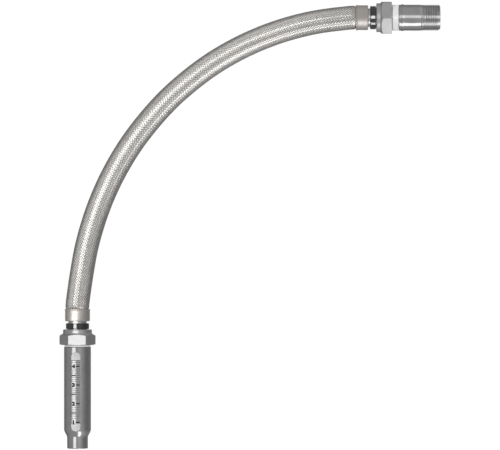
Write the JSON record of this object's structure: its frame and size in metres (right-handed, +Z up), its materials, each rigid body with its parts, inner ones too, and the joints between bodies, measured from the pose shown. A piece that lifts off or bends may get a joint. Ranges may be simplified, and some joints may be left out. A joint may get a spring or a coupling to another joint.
{
  "type": "braided transfer hose with graduated nozzle",
  "caption": "Flexible braided fluid transfer hose with crimped ferrules, hex union nuts, a threaded inlet adapter and a graduated nozzle barrel with an inner check valve.",
  "frame": {"origin": "centre of the bounding box in plan, on the surface that the hose lies on", "axes": "+X along the inlet adapter towards its free end, +Y along the nozzle towards the hose, +Z up from the surface"},
  "size_m": [0.2061, 0.242, 0.0196],
  "materials": {
    "braid": "woven stainless wire",
    "liner": "matt",
    "ferrule": "smooth satin",
    "tail": "turned",
    "collar": "gloss black",
    "nut": "satin plated",
    "adapter": "turned, plated",
    "barrel": "satin turned",
    "strip": "bright satin with engraved scale",
    "seal_white": "matt white",
    "seal_black": "matt",
    "valve_brass": "turned",
    "ball": "polished",
    "spring": "drawn wire"
  },
  "bodies": {
    "hose": {"braid_sleeve": "braid", "inner_hose": "liner", "inlet_ferrule": "ferrule", "inlet_hose_tail": "tail", "inlet_collar": "collar", "inlet_gasket": "seal_white", "nozzle_ferrule": "ferrule", "nozzle_hose_tail": "tail", "nozzle_collar": "collar", "nozzle_gasket": "seal_white"},
    "inlet_nut": {"inlet_union_nut": "nut"},
    "inlet": {"inlet_adapter": "adapter", "inlet_seal_ring": "seal_white"},
    "nozzle_nut": {"nozzle_union_nut": "nut"},
    "nozzle": {"nozzle_barrel": "barrel", "nozzle_scale_strip": "strip", "nozzle_seal_washer": "seal_white", "valve_seat": "valve_brass", "valve_seat_o_ring": "seal_black", "valve_spring": "spring"},
    "ball": {"check_ball": "ball"}
  },
  "joints": [
    {"name": "inlet_nut_turn", "type": "hinge", "parent": "hose", "child": "inlet_nut", "pos_m": [0.073, 0.1122, 0.00979], "axis": [-1, 0, 0], "range_deg": [0, 1080]},
    {"name": "inlet_slide", "type": "slide", "parent": "hose", "child": "inlet", "axis": [1, 0, 0], "range_m": [0, 0.00375]},
    {"name": "nozzle_nut_turn", "type": "hinge", "parent": "hose", "child": "nozzle_nut", "pos_m": [-0.0932, -0.061, 0.0085], "axis": [0, 1, 0], "range_deg": [0, 1080]},
    {"name": "nozzle_slide", "type": "slide", "parent": "hose", "child": "nozzle", "axis": [0, -1, 0], "range_m": [0, 0.00375]},
    {"name": "ball_lift", "type": "slide", "parent": "nozzle", "child": "ball", "axis": [0, -1, 0], "range_m": [0, 0.003], "stiffness_N_per_m": 120, "springref_m": -0.004, "deforming": ["valve_spring"]}
  ],
  "couplings": [
    {"joint": "inlet_nut_turn", "follows": "inlet_slide", "rad_per_m": 5026.5},
    {"joint": "nozzle_nut_turn", "follows": "nozzle_slide", "rad_per_m": 5026.5}
  ]
}
